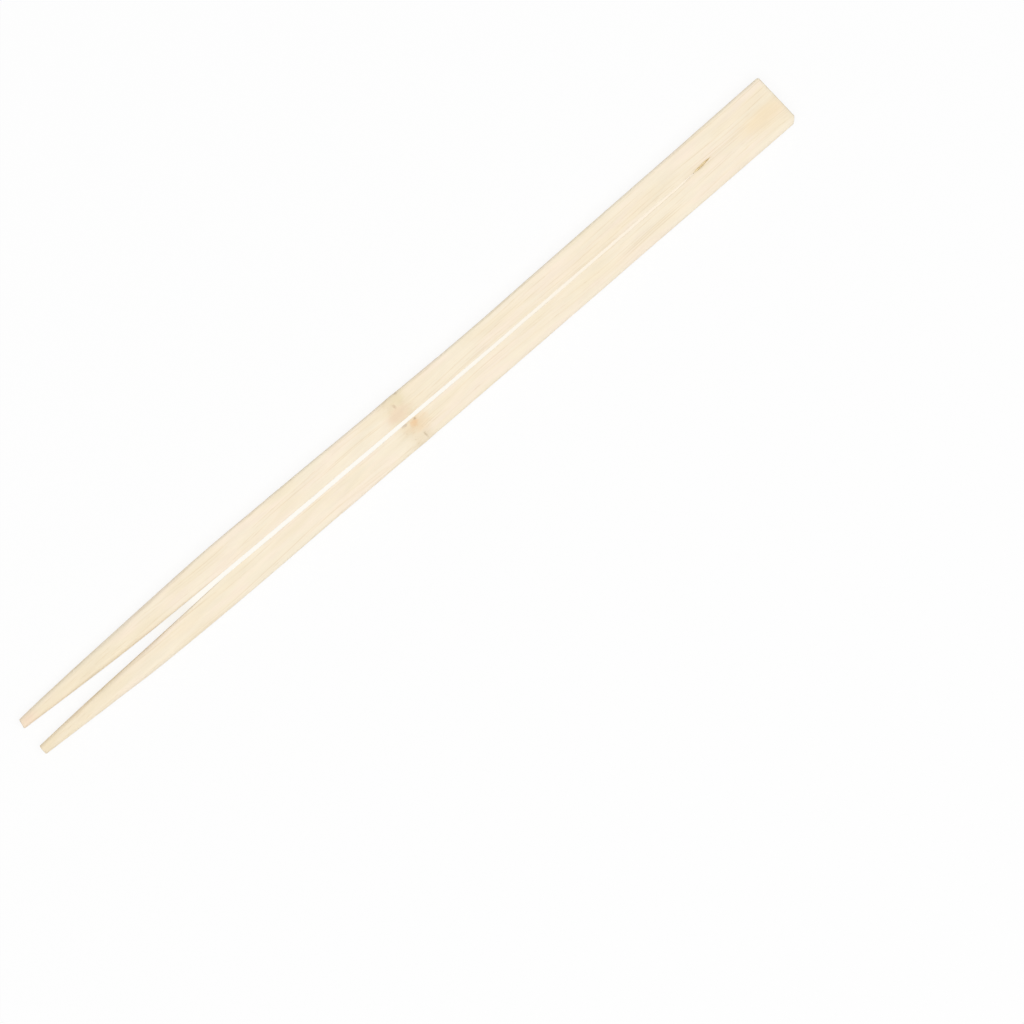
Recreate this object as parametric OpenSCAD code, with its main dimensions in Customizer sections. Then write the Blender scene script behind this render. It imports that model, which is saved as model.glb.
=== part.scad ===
// Joined pair of disposable bamboo chopsticks, sawn from one strip and still held together at the head.
// The strip lies flat: +X points from the tips to the head, +Y across the two legs, +Z up from the rest face.
// The origin is under the middle of the pair.

/* [Strip] */
// Length from the head end to the longer tip
strip_length = 230; // [200:1:260]
// Width across the two legs at the head end
head_width = 13.9; // [12.5:0.1:16]
// Thickness of the strip
strip_thickness = 5; // [4.2:0.1:6.5]
// Distance from the head end to the waist, where the strip bends slightly
waist_distance = 93; // [60:1:115]
// Radius that eases the long outer edges
edge_radius = 0.7; // [0.3:0.05:1.2]

/* [Head end] */
// How far the head cut runs out of square over its width
head_skew = 0.55; // [0:0.05:1.5]
// Size of the broken corner on the lower leg's side
head_corner = 1.4; // [0.5:0.1:3]
// Size of the small break on the upper leg's side
head_break = 0.5; // [0.2:0.1:2]
// Radius that eases the edges of the head cut
head_edge_radius = 0.4; // [0.1:0.05:0.8]

/* [Slit] */
// Width of one leg
leg_width = 6.8; // [5.8:0.1:8]
// Distance from the head end to the start of the open slit
slit_distance = 26.6; // [15:0.1:45]
// Gap between the legs where the open slit starts
slit_start_gap = 0.2; // [0.1:0.05:0.5]
// Gap between the legs at the waist
slit_waist_gap = 0.59; // [0.3:0.01:1.2]
// Gap between the legs where the tips start to taper
slit_taper_gap = 0.83; // [0.4:0.01:1.6]
// Gap that the legs would have at the tips if they kept their full width
slit_tip_gap = 0.97; // [0.4:0.01:2]
// Length of the lens-shaped blind crack at the closed end of the slit
crack_length = 5.9; // [3:0.1:10]
// Width of the crack
crack_width = 0.55; // [0.4:0.05:1.4]
// Depth of the crack below the top face
crack_depth = 0.8; // [0.4:0.1:3]

/* [Tips] */
// Length of the taper of each tip
taper_length = 62; // [30:1:80]
// Width of a tip at its end
tip_width = 2.7; // [1.8:0.1:4]
// Thickness of a tip at its end
tip_thickness = 2.6; // [1.8:0.1:3.6]
// How far the end of the upper leg's tip runs out of square
tip_skew = 0.45; // [0:0.05:1]
// Break around the end of each tip
tip_break = 0.35; // [0.1:0.05:0.5]
// Room between the sides of a tip and the round envelope that takes its corners off
corner_margin = 0.15; // [0.1:0.05:0.4]

/* [Hidden] */
$fn = 96;

// Straight steps that follow the curve of each taper
taper_steps = 10;
// Overrun of every cut past the face that it opens
overrun = 1;
// How far the crack runs into the open slit
crack_overlap = 0.5;
// How far each taper starts outside the straight side, so that the two cross at a clear angle
taper_lead = 0.03;
// Share of the edge radius at which its arc is centred below the two faces
edge_centre_share = 0.97;
// Share of a taper's fall that runs straight, while the rest of it falls ever faster
taper_straight_share = 0.22;
// Share of the taper, from the tip, at which the round envelope changes its slope
envelope_knee_share = 0.32;

// Stations along the strip: where the slit starts, at the waist and where the tips start to taper
START = 0;
WAIST = 1;
TAPER = 2;
// The upper leg lies at +Y, the lower leg at -Y
UPPER = 1;
LOWER = -1;

// Width of the upper and of the lower leg at two of the stations, as shares of leg_width
waist_width_shares = [0.925, 0.953];
taper_width_shares = [1.002, 1.004];
// Wander of the slit off the strip's axis at the three stations, as shares of leg_width
slit_line_shares = [-0.1, -0.117, -0.028];
// Wander of the crack, of the middle of the head end and of the middle between the tips, likewise
crack_line_share = -0.072;
head_line_share = -0.04;
tip_line_share = 0.02;

slit_gaps = [slit_start_gap, slit_waist_gap, slit_taper_gap];
tip_x = -strip_length / 2;
taper_x = tip_x + taper_length;

// Position along X of a distance from the head end
function along(distance) = strip_length / 2 - distance;

// Positions along X of the three stations
station_x = [along(slit_distance), along(waist_distance), taper_x];

// Width of a leg at the waist or where it starts to taper
function leg_at(side, station) =
    leg_width * (station == WAIST ? waist_width_shares : taper_width_shares)[side == UPPER ? 0 : 1];

// Wall of the slit on one leg, and the outer side of that leg, at a station
function inner_y(side, station) = leg_width * slit_line_shares[station] + side * slit_gaps[station] / 2;
function outer_y(side, station) = inner_y(side, station) + side * leg_at(side, station);

// Outer side of the strip at the head end
function head_y(side) = leg_width * head_line_share + side * head_width / 2;

// Walls of a leg, carried straight on past the start of the taper to the end of the tip
function tip_inner_y(side) = leg_width * tip_line_share + side * slit_tip_gap / 2;
function tip_outer_y(side) = tip_inner_y(side) + side * leg_at(side, TAPER);

// Middle of a leg where its taper starts and at its tip, and the turn of the line between them
function taper_y(side) = (inner_y(side, TAPER) + outer_y(side, TAPER)) / 2;
function tip_y(side) = (tip_inner_y(side) + tip_outer_y(side)) / 2;
function tip_turn(side) = atan2(taper_y(side) - tip_y(side), taper_length);

// Half width of a taper at a distance from its start: it leaves the straight side gently and falls ever faster
function taper_half(distance, half, end_half) =
    let (t = distance / taper_length)
        half - (half - end_half) * (taper_straight_share * t + (1 - taper_straight_share) * t ^ 2);

// Corners of the strip's outline from above, clockwise from the upper leg's tip: along the upper leg,
// round the head end and back along the lower leg
upper_tip = [tip_x, tip_outer_y(UPPER)];
upper_taper = [taper_x, outer_y(UPPER, TAPER)];
upper_waist = [along(waist_distance), outer_y(UPPER, WAIST)];
upper_head = [along(head_skew + head_break), head_y(UPPER)];
cut_top = [along(head_skew), head_y(UPPER) - head_break];
cut_foot = [along(0), head_y(LOWER) + head_corner];
lower_head = [along(head_corner), head_y(LOWER)];
lower_waist = [along(waist_distance), outer_y(LOWER, WAIST)];
lower_taper = [taper_x, outer_y(LOWER, TAPER)];
lower_tip = [tip_x, tip_outer_y(LOWER)];

upper_side = [upper_tip, upper_taper, upper_waist, upper_head];
head_end = [upper_head, cut_top, cut_foot, lower_head];
lower_side = [lower_head, lower_waist, lower_taper, lower_tip];

// The strip is moved sideways so that the middle of its whole width lies on the X axis
centring = -(upper_taper.y + lower_waist.y) / 2;

// Outline of the strip from above, before the slit is sawn and the tips are shaped
module strip_outline() {
    skew_start = [tip_x, tip_y(UPPER) - tip_width / 2];
    skew_reach = (upper_tip.y - skew_start.y) * tip_skew / tip_width;
    polygon([
        skew_start,
        upper_tip + [skew_reach, 0],
        upper_taper,
        upper_waist,
        upper_head,
        cut_top,
        cut_foot,
        lower_head,
        lower_waist,
        lower_taper,
        lower_tip
    ]);
}

// Outline of the sawn slit from above
module slit_outline() {
    polygon([
        for (station = [START, WAIST, TAPER])
            [station_x[station], inner_y(UPPER, station)],
        [tip_x, tip_inner_y(UPPER)],
        [tip_x - overrun, tip_inner_y(UPPER)],
        [tip_x - overrun, tip_inner_y(LOWER)],
        [tip_x, tip_inner_y(LOWER)],
        for (station = [TAPER, WAIST, START])
            [station_x[station], inner_y(LOWER, station)]
    ]);
}

// Outline of a taper, from just before its start to just past the tip
module taper_outline(half, end_half) {
    curve = [
        [overrun, half],
        for (step = [0:taper_steps])
            let (distance = taper_length * step / taper_steps)
                [-distance, taper_half(distance, half, end_half)],
        [-taper_length - overrun, end_half]
    ];
    last = len(curve) - 1;
    mirrored = [for (i = [last:-1:0]) [curve[i].x, -curve[i].y]];
    polygon(concat(curve, mirrored));
}

// From above: everything towards the head, and one narrowing tip for each leg
module tips_from_above() {
    translate([taper_x, -head_width])
        square([strip_length, 2 * head_width]);
    for (side = [UPPER, LOWER])
        translate([taper_x, taper_y(side)])
            rotate(tip_turn(side))
                taper_outline(leg_at(side, TAPER) / 2 + taper_lead, tip_width / 2);
}

// From the side: the tips thin out alike above and below the middle of the strip
module tips_from_the_side() {
    translate([taper_x, -overrun])
        square([strip_length, strip_thickness + 2 * overrun]);
    translate([taper_x, strip_thickness / 2])
        taper_outline(strip_thickness / 2 + taper_lead, tip_thickness / 2);
}

// Round envelope of a tip: a short break at the end, then two cones that run out on the leg's corners
module tip_envelope(side) {
    half = leg_at(side, TAPER) / 2;
    end_radius = tip_width / 2 + corner_margin;
    knee = envelope_knee_share * taper_length;
    knee_radius = taper_half(taper_length - knee, half, tip_width / 2) + corner_margin;
    corner_radius = norm([half, strip_thickness / 2]) + corner_margin;
    rotate([0, 90, tip_turn(side)])
        rotate_extrude()
            polygon([
                [0, -tip_break],
                [end_radius - 2 * tip_break, -tip_break],
                [end_radius, tip_break],
                [knee_radius, knee],
                [corner_radius, taper_length],
                [corner_radius, taper_length + overrun],
                [0, taper_length + overrun]
            ]);
}

// What is turned off the corners of one tip
module tip_turnings(side) {
    between_legs = leg_width * (slit_line_shares[TAPER] + tip_line_share) / 2;
    near_y = side == UPPER ? between_legs : between_legs - head_width;
    difference() {
        translate([tip_x - overrun, near_y, -overrun])
            cube([taper_length + overrun, head_width, strip_thickness + 2 * overrun]);
        translate([tip_x, tip_y(side), strip_thickness / 2])
            tip_envelope(side);
    }
}

// What is eased off the top and bottom edges along each stretch of a path that has its outside on the left
module eased_edges(path, radius) {
    centre = radius * edge_centre_share;
    for (i = [1:len(path) - 1], face = [0, 1]) {
        stretch = path[i] - path[i - 1];
        translate([path[i - 1].x, path[i - 1].y, strip_thickness / 2])
            rotate(atan2(stretch.y, stretch.x))
                mirror([0, 0, face])
                    translate([-overrun, -centre, strip_thickness / 2 - centre])
                        rotate([90, 0, 90])
                            linear_extrude(norm(stretch) + 2 * overrun)
                                difference() {
                                    square(centre + overrun);
                                    circle(r = radius);
                                }
    }
}

// Blind crack at the closed end of the slit, pointed at both ends
module crack() {
    half_length = crack_length / 2;
    half_width = crack_width / 2;
    arc_radius = (half_length ^ 2 + half_width ^ 2) / crack_width;
    middle_x = along(slit_distance) + half_length - crack_overlap;
    rise = leg_width * (crack_line_share - slit_line_shares[START]);
    translate([middle_x, leg_width * crack_line_share, strip_thickness - crack_depth])
        rotate(atan2(rise, half_length))
            linear_extrude(crack_depth + overrun)
                intersection() {
                    translate([0, half_width - arc_radius])
                        circle(r = arc_radius);
                    translate([0, arc_radius - half_width])
                        circle(r = arc_radius);
                }
}

// The strip is sawn to its outline, slit and thinned, then its tips are turned and its edges eased
module chopstick_pair() {
    color("#f3e6c8")
        translate([0, centring, 0])
            difference() {
                intersection() {
                    linear_extrude(strip_thickness)
                        intersection() {
                            difference() {
                                strip_outline();
                                slit_outline();
                            }
                            tips_from_above();
                        }
                    rotate([90, 0, 0])
                        linear_extrude(4 * head_width, center = true)
                            tips_from_the_side();
                }
                for (side = [UPPER, LOWER])
                    tip_turnings(side);
                eased_edges(upper_side, edge_radius);
                eased_edges(head_end, head_edge_radius);
                eased_edges(lower_side, edge_radius);
                crack();
            }
}

chopstick_pair();
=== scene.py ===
"""Looks of a joined pair of bamboo chopsticks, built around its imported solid.

The pair is one strip of bamboo with a head, two legs with a sawn slit between them, and tapering tips.
Shapes are worked out in millimetres and written to the mesh in metres.
"""

import logging
import math
from dataclasses import dataclass, field
from enum import Enum
from typing import ClassVar, Union

import bpy
import numpy as np
from mathutils import Matrix, Vector


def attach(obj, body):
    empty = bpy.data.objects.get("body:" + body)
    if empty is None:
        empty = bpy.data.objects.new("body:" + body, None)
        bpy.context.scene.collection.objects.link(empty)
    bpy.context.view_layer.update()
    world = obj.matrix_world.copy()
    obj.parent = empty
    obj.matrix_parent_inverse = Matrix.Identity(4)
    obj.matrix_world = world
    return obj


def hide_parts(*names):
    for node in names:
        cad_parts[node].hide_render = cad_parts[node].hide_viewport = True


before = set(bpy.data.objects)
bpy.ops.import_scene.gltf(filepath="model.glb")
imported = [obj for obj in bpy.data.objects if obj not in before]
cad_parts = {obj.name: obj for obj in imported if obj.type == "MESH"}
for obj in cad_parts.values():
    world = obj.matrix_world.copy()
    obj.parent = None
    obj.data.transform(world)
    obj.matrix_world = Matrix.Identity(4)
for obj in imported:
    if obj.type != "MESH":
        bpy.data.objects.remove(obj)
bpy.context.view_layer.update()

LOG = logging.getLogger("chopsticks")
MM = 0.001

Array = np.ndarray
Colour = tuple[float, float, float, float]
Triple = tuple[float, float, float]
Socket = bpy.types.NodeSocket
Value = Union[float, Triple, Colour, Socket]

# Places along the strip of the bamboo's node and, counted from it, of its two lines, in millimetres
NODE_X = 0.0
NODE_LINES = (1.7, -1.8)


class Leg(Enum):
    """The two legs of the pair, by the side of the slit that they lie on."""

    LOWER = -1
    UPPER = 1


class Finish(Enum):
    """The surfaces of the strip, in the order of its material slots."""

    PLANED = 0
    SAWN = 1
    TORN = 2


def seen(red: int, green: int, blue: int) -> Colour:
    """Turns a colour as it looks on a screen into the numbers that a shader takes.

    Args:
        red: Red, from 0 to 255.
        green: Green, from 0 to 255.
        blue: Blue, from 0 to 255.

    Returns:
        The linear colour with full alpha.
    """
    parts = [c / 255.0 for c in (red, green, blue)]
    linear = [c / 12.92 if c <= 0.04045 else ((c + 0.055) / 1.055) ** 2.4 for c in parts]
    return (linear[0], linear[1], linear[2], 1.0)


def eased(value: Array) -> Array:
    """Returns a smooth step from 0 to 1 as the value goes from 0 to 1."""
    t = np.clip(value, 0.0, 1.0)
    return t * t * (3.0 - 2.0 * t)


class GrainNoise:
    """Smooth noise for shapes, the same on every run."""

    def __init__(self, seed: int, cells: int = 48) -> None:
        """Fills a table with so many cells along each side, after which the noise repeats."""
        self.cells = cells
        self.table = np.random.default_rng(seed).uniform(-1.0, 1.0, (cells, cells, cells))

    def at(self, x: Array, y: Array | float = 0.0, z: Array | float = 0.0) -> Array:
        """Reads the noise at many places.

        Args:
            x: First coordinate, in cells.
            y: Second coordinate, in cells.
            z: Third coordinate, in cells.

        Returns:
            Values from -1 to 1.
        """
        place = np.stack(np.broadcast_arrays(x, y, z)).astype(float)
        base = np.floor(place).astype(int)
        weight = eased(place - base)
        total = np.zeros(place.shape[1:])
        for corner in range(8):
            bits = [(corner >> axis) & 1 for axis in range(3)]
            share = np.ones(place.shape[1:])
            for axis in range(3):
                share = share * (weight[axis] if bits[axis] else 1.0 - weight[axis])
            cell = tuple((base[axis] + bits[axis]) % self.cells for axis in range(3))
            total += share * self.table[cell]
        return total


GRAIN = GrainNoise(seed=11)


@dataclass(frozen=True)
class Ripple:
    """A wander along the strip: its height and spacing in millimetres, and its row and layer of the noise."""

    height: float
    spacing: float
    row: float
    layer: float = 0.0

    def at(self, x: Array, side: int = 1) -> Array:
        """Returns the wander at places along the strip, from a row of its own on each side."""
        return self.height * GRAIN.at(x / self.spacing, side * self.row, self.layer)


@dataclass(frozen=True)
class Mottle:
    """A wander over two directions: its height, its spacing along each, and its layer of the noise."""

    height: float
    first: float
    second: float
    layer: float

    def at(self, first: Array, second: Array, side: int = 1) -> Array:
        """Returns the wander at places along both directions, from a layer of its own on each side."""
        return self.height * GRAIN.at(first / self.first, second / self.second, side * self.layer)


@dataclass(frozen=True)
class Swell:
    """A soft swelling around one place: its height, its place and its reach, in millimetres."""

    height: float
    place: float
    reach: float

    def at(self, distance: Array) -> Array:
        """Returns the height of the swelling at each distance."""
        return self.height * np.exp(-(((distance - self.place) / self.reach) ** 2))


@dataclass(frozen=True)
class Ramp:
    """A smooth change by an amount, from its start to its end, in millimetres."""

    amount: float
    start: float
    end: float

    def at(self, distance: Array) -> Array:
        """Returns how much of the amount is reached at each distance."""
        return self.amount * eased((distance - self.start) / (self.end - self.start))


@dataclass(frozen=True)
class SideLine:
    """A long line of the strip's plan through a few places, with its bends eased."""

    xs: tuple[float, ...]
    ys: tuple[float, ...]
    ease: float = 7.0
    eases_beyond: float = 4.0
    samples: int = 11

    def at(self, x: Array) -> Array:
        """Reads the line, which runs on straight beyond its ends.

        Args:
            x: Places along the strip.

        Returns:
            The line's places across the strip.
        """
        far = self.eases_beyond * self.ease
        first = (self.ys[1] - self.ys[0]) / (self.xs[1] - self.xs[0])
        last = (self.ys[-1] - self.ys[-2]) / (self.xs[-1] - self.xs[-2])
        xs = (self.xs[0] - far, *self.xs, self.xs[-1] + far)
        ys = (self.ys[0] - far * first, *self.ys, self.ys[-1] + far * last)
        steps = np.linspace(-self.ease, self.ease, self.samples)
        return np.mean([np.interp(x + step, xs, ys) for step in steps], axis=0)


@dataclass(frozen=True)
class StripSizes:
    """Sizes of the strip in millimetres, close to those of the solid.

    Gaps and lines of the slit are given at the tips, the start of the taper, the waist and the slit's start.
    Width shares are those of the upper and the lower leg.
    """

    length: float = 230.0
    head_width: float = 13.9
    thickness: float = 5.0
    waist_distance: float = 93.0
    edge_radius: float = 0.7
    head_skew: float = 0.55
    head_corner: float = 1.4
    head_break: float = 0.5
    head_edge_radius: float = 0.4
    head_edge_side_share: float = 0.3
    leg_width: float = 6.8
    slit_distance: float = 26.6
    slit_gaps: tuple[float, ...] = (0.97, 0.83, 0.59, 0.3)
    slit_line_shares: tuple[float, ...] = (0.02, -0.028, -0.117, -0.1)
    slit_least_radius: float = 0.01
    slit_edge_radius: float = 0.02
    slit_edge_length: float = 2.0
    crack_length: float = 6.2
    crack_width: float = 0.55
    crack_depth: float = 0.8
    crack_overlap: float = 0.5
    taper_length: float = 62.0
    tip_width: float = 2.42
    tip_thickness: float = 2.6
    tip_skew: float = 0.45
    tip_break: float = 0.35
    tip_break_share: float = 0.6
    tip_round_share: float = 0.66
    tip_turned_share: float = 0.62
    taper_straight_share: float = 0.22
    waist_width_shares: tuple[float, float] = (0.925, 0.953)
    taper_width_shares: tuple[float, float] = (1.002, 1.004)
    crack_line_share: float = -0.072
    head_line_share: float = -0.04

    @property
    def head_x(self) -> float:
        """Place of the head end along the strip."""
        return self.length / 2

    @property
    def tip_x(self) -> float:
        """Place of the tips along the strip."""
        return -self.length / 2

    @property
    def taper_x(self) -> float:
        """Place where the tips start to taper."""
        return self.tip_x + self.taper_length

    @property
    def slit_x(self) -> float:
        """Place where the open slit starts."""
        return self.head_x - self.slit_distance

    @property
    def crack_x(self) -> float:
        """Middle of the crack along the strip."""
        return self.slit_x + self.crack_length / 2 - self.crack_overlap

    @property
    def crack_end_x(self) -> float:
        """Pointed end of the crack, towards the head."""
        return self.crack_x + self.crack_length / 2

    def taper(self, x: Array) -> Array:
        """Returns the share of the tips' fall that is reached at each place, from 0 to 1."""
        t = np.clip((self.taper_x - x) / self.taper_length, 0.0, 1.0)
        return self.taper_straight_share * t + (1.0 - self.taper_straight_share) * t**2

    def half_height(self, x: Array) -> Array:
        """Returns half the strip's thickness at each place."""
        return self.thickness / 2 - (self.thickness - self.tip_thickness) / 2 * self.taper(x)


@dataclass(frozen=True)
class HandWork:
    """How the sawn and sanded strip departs from its drawn lines, in millimetres.

    Swells at the node are placed from the node towards the head. The saw's marks are placed from the start of
    the slit, and the bow and the sanded tip from the start of the taper, both towards the tips.
    """

    bow: Swell = Swell(-0.16, 28.0, 17.0)
    side_ripples: tuple[Ripple, ...] = (Ripple(0.035, 11.0, 3.5), Ripple(0.02, 2.7, 3.5, 9.5))
    side_swell: Swell = Swell(0.02, 0.4, 2.0)
    upper_sanded: float = 0.12
    lower_sanded: float = 0.05
    lower_tip_sanded: Ramp = Ramp(0.16, 30.0, 42.0)
    saw_ripple: Ripple = Ripple(0.03, 9.0, 21.5)
    wall_ripple: Ripple = Ripple(0.012, 1.9, 5.5, 3.5)
    ripple_start: Ramp = Ramp(1.0, 0.0, 6.0)
    wall_swell: Swell = Swell(0.05, 0.0, 1.6)
    upper_kerf: float = 0.02
    upper_late_kerf: Ramp = Ramp(0.1, 133.4, 148.4)
    lower_kerf: Ramp = Ramp(0.19, 1.0, 4.6)
    lower_late_kerf: Ramp = Ramp(0.06, 8.4, 28.4)
    lower_spared: Swell = Swell(0.17, 144.4, 9.0)
    pinch: Ramp = Ramp(0.06, 2.8, 0.6)


class StripPlan:
    """The strip seen from above: its long sides, the walls of its slit, its crack and its end cuts."""

    def __init__(self, sizes: StripSizes) -> None:
        """Lays out the lines.

        Args:
            sizes: Sizes of the strip.
        """
        self.sizes = sizes
        self.work = HandWork()
        s = sizes
        walls: dict[Leg, list[float]] = {}
        sides: dict[Leg, list[float]] = {}
        for leg in Leg:
            index = 0 if leg is Leg.UPPER else 1
            at_taper, at_waist = s.taper_width_shares[index], s.waist_width_shares[index]
            widths = [s.leg_width * share for share in (at_taper, at_taper, at_waist)]
            lines = zip(s.slit_line_shares, s.slit_gaps)
            walls[leg] = [s.leg_width * share + leg.value * gap / 2 for share, gap in lines]
            sides[leg] = [wall + leg.value * width for wall, width in zip(walls[leg], widths)]
            sides[leg].append(s.leg_width * s.head_line_share + leg.value * s.head_width / 2)
        self.centring = -(sides[Leg.UPPER][1] + sides[Leg.LOWER][2]) / 2
        self.crack_middle = s.leg_width * s.crack_line_share + self.centring
        self.crack_rise = s.leg_width * (s.crack_line_share - s.slit_line_shares[-1]) / (s.crack_length / 2)
        bends = (s.tip_x, s.taper_x, s.head_x - s.waist_distance)
        self.wall_lines = {leg: SideLine((*bends, s.slit_x), tuple(walls[leg])) for leg in Leg}
        self.side_lines = {leg: SideLine((*bends, s.head_x), tuple(sides[leg])) for leg in Leg}
        self.head_sides = {leg: sides[leg][3] + self.centring for leg in Leg}
        self.tip_middles = {leg: (walls[leg][0] + sides[leg][0]) / 2 + self.centring for leg in Leg}

    def shift(self, x: Array) -> Array:
        """Returns how far the drawn lines move across: to the middle, and by the bow of both legs."""
        return self.centring + self.work.bow.at(self.sizes.taper_x - x)

    def outer(self, leg: Leg, x: Array) -> Array:
        """Works out the outer side of a leg, with the slow wander of a sanded edge and the swell at the node.

        Args:
            leg: The leg.
            x: Places along the strip.

        Returns:
            The side's places across the strip.
        """
        work = self.work
        wander = sum(ripple.at(x, leg.value) for ripple in work.side_ripples)
        swell = work.side_swell.at(x - NODE_X)
        sanded = work.upper_sanded
        if leg is Leg.LOWER:
            sanded = work.lower_sanded + work.lower_tip_sanded.at(self.sizes.taper_x - x)
        return self.side_lines[leg].at(x) + self.shift(x) + leg.value * (wander + swell - sanded)

    def wall(self, leg: Leg, x: Array) -> Array:
        """Works out the slit's wall on a leg, which wanders as the saw did and bulges a little at the node.

        Args:
            leg: The leg.
            x: Places along the strip.

        Returns:
            The wall's places across the strip.
        """
        work = self.work
        past = self.sizes.slit_x - x
        saw = work.saw_ripple.at(x) + work.wall_ripple.at(x, leg.value)
        if leg is Leg.UPPER:
            kerf = work.upper_kerf + work.upper_late_kerf.at(past)
        else:
            kerf = work.lower_kerf.at(past) + work.lower_late_kerf.at(past) - work.lower_spared.at(past)
        closed = work.wall_swell.at(x - NODE_X) + work.pinch.at(past)
        line = self.wall_lines[leg].at(x) + self.shift(x)
        return line + saw * work.ripple_start.at(past) + leg.value * (kerf - closed)

    def crack_line(self, x: Array) -> Array:
        """Returns the middle line of the crack, which then runs on straight to the head."""
        ahead = np.clip(x, None, self.sizes.crack_end_x) - self.sizes.crack_x
        return self.crack_middle + self.crack_rise * ahead

    def crack_half(self, x: Array) -> Array:
        """Returns half the width of the lens-shaped crack, none outside it."""
        from_middle = (x - self.sizes.crack_x) / (self.sizes.crack_length / 2)
        return np.clip(self.sizes.crack_width / 2 * (1.0 - from_middle**2), 0.0, None)

    def head_end(self, y: Array) -> Array:
        """Works out the end of the head, with its skewed cut and its two broken corners.

        Args:
            y: Places across the strip.

        Returns:
            How far the strip reaches along X there.
        """
        s = self.sizes
        low = self.head_sides[Leg.LOWER]
        high = self.head_sides[Leg.UPPER]
        foot = low + s.head_corner
        slope = s.head_skew / (high - s.head_break - foot)
        cut = s.head_x - slope * np.clip(y - foot, 0.0, None)
        lower = s.head_x - np.clip(foot - y, 0.0, None)
        upper = s.head_x - s.head_skew - np.clip(y - (high - s.head_break), 0.0, None)
        return np.minimum(np.minimum(cut, lower), np.where(y > high - s.head_break, upper, cut))


@dataclass(frozen=True)
class Cells:
    """Station, column and row of each vertex of a blank, with station 0 at the tips and row 0 on top."""

    station: Array
    column: Array
    row: Array


@dataclass
class Blank:
    """The even lattice that the strip is shaped from, one unit a cell, made by hand operators."""

    stations: int
    leg_columns: int
    slit_columns: int
    rows: int
    slit_station: int
    piece: bpy.types.Object = field(init=False)

    @property
    def columns(self) -> int:
        """Columns across both legs and the slit."""
        return 2 * self.leg_columns + self.slit_columns

    def saw(self, name: str) -> bpy.types.Object:
        """Makes the blank: a grid, sawn open along the slit and extruded row by row to its thickness.

        Args:
            name: Name of the piece.

        Returns:
            The blank, closed, in object mode.
        """
        bpy.ops.object.select_all(action="DESELECT")
        bpy.ops.mesh.primitive_grid_add(x_subdivisions=self.stations, y_subdivisions=self.columns, size=2.0)
        self.piece = bpy.context.object
        self.piece.name = name
        self.piece.data.name = name
        bpy.ops.object.mode_set(mode="EDIT")
        bpy.ops.mesh.select_mode(type="FACE")
        bpy.ops.transform.resize(value=(self.stations / 2, self.columns / 2, 1.0))
        bpy.ops.mesh.select_all(action="DESELECT")
        bpy.ops.object.mode_set(mode="OBJECT")
        slit_x = self.slit_station - self.stations / 2
        for face in self.piece.data.polygons:
            face.select = face.center.x < slit_x and abs(face.center.y) < self.slit_columns / 2
        bpy.ops.object.mode_set(mode="EDIT")
        bpy.ops.mesh.delete(type="FACE")
        bpy.ops.mesh.select_all(action="SELECT")
        for _ in range(self.rows):
            bpy.ops.mesh.extrude_region_move(TRANSFORM_OT_translate={"value": (0.0, 0.0, -1.0)})
        bpy.ops.mesh.select_all(action="SELECT")
        bpy.ops.mesh.normals_make_consistent(inside=False)
        bpy.ops.object.mode_set(mode="OBJECT")
        return self.piece

    def cells(self) -> Cells:
        """Reads the cell of each vertex from its place.

        Returns:
            The stations, columns and rows.
        """
        mesh = self.piece.data
        flat = np.zeros(len(mesh.vertices) * 3)
        mesh.vertices.foreach_get("co", flat)
        x, y, z = flat.reshape(-1, 3).T
        places = (x + self.stations / 2, y + self.columns / 2, -z)
        return Cells(*(np.rint(place).astype(int) for place in places))


def rounded(
    y: Array,
    z: Array,
    half_y: Array,
    half_z: Array,
    low_radius: Array,
    high_radius: Array,
) -> tuple[Array, Array]:
    """Rounds the corners of a rectangular section, spreading its points evenly over each arc.

    Args:
        y: Place across, from the section's middle.
        z: Place up, from the section's middle.
        half_y: Half the section's width.
        half_z: Half the section's height.
        low_radius: Corner radius on the side of low y.
        high_radius: Corner radius on the side of high y.

    Returns:
        The places across and up on the rounded section.
    """
    radius = np.where(y > 0.0, high_radius, low_radius)
    share = np.maximum(np.maximum(np.abs(y) / half_y, np.abs(z) / half_z), 1e-6)
    rim_y, rim_z = np.abs(y) / share, np.abs(z) / share
    on_top = rim_z / half_z >= rim_y / half_y
    near = np.where(on_top, half_y - rim_y, half_z - rim_z)
    on_arc = near < radius
    angle = np.radians(45.0) * np.clip(1.0 - near / radius, 0.0, 1.0)
    short, long = radius * np.sin(angle), radius * np.cos(angle)
    arc_y = half_y - radius + np.where(on_top, short, long)
    arc_z = half_z - radius + np.where(on_top, long, short)
    round_y = np.where(on_arc, arc_y, rim_y)
    round_z = np.where(on_arc, arc_z, rim_z)
    return np.sign(y) * round_y * share, np.sign(z) * round_z * share


def end_inset(distance: Array, radius: float) -> Array:
    """Returns how far the sides stand back near an end with a rounded edge, by the distance from that end."""
    gone = np.clip(1.0 - distance / radius, 0.0, 1.0)
    return radius * (1.0 - np.sqrt(1.0 - gone**2))


@dataclass(frozen=True)
class EndCut:
    """A sawn end: how far back its slant moves the sections, and how rough it is close to the cut."""

    reach: float
    sharpness: float
    roughness: Mottle

    def near(self, distance: Array) -> Array:
        """Returns 1 at the cut, falling to 0 at the end of its reach."""
        return np.clip(1.0 - distance / self.reach, 0.0, 1.0)


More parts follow.
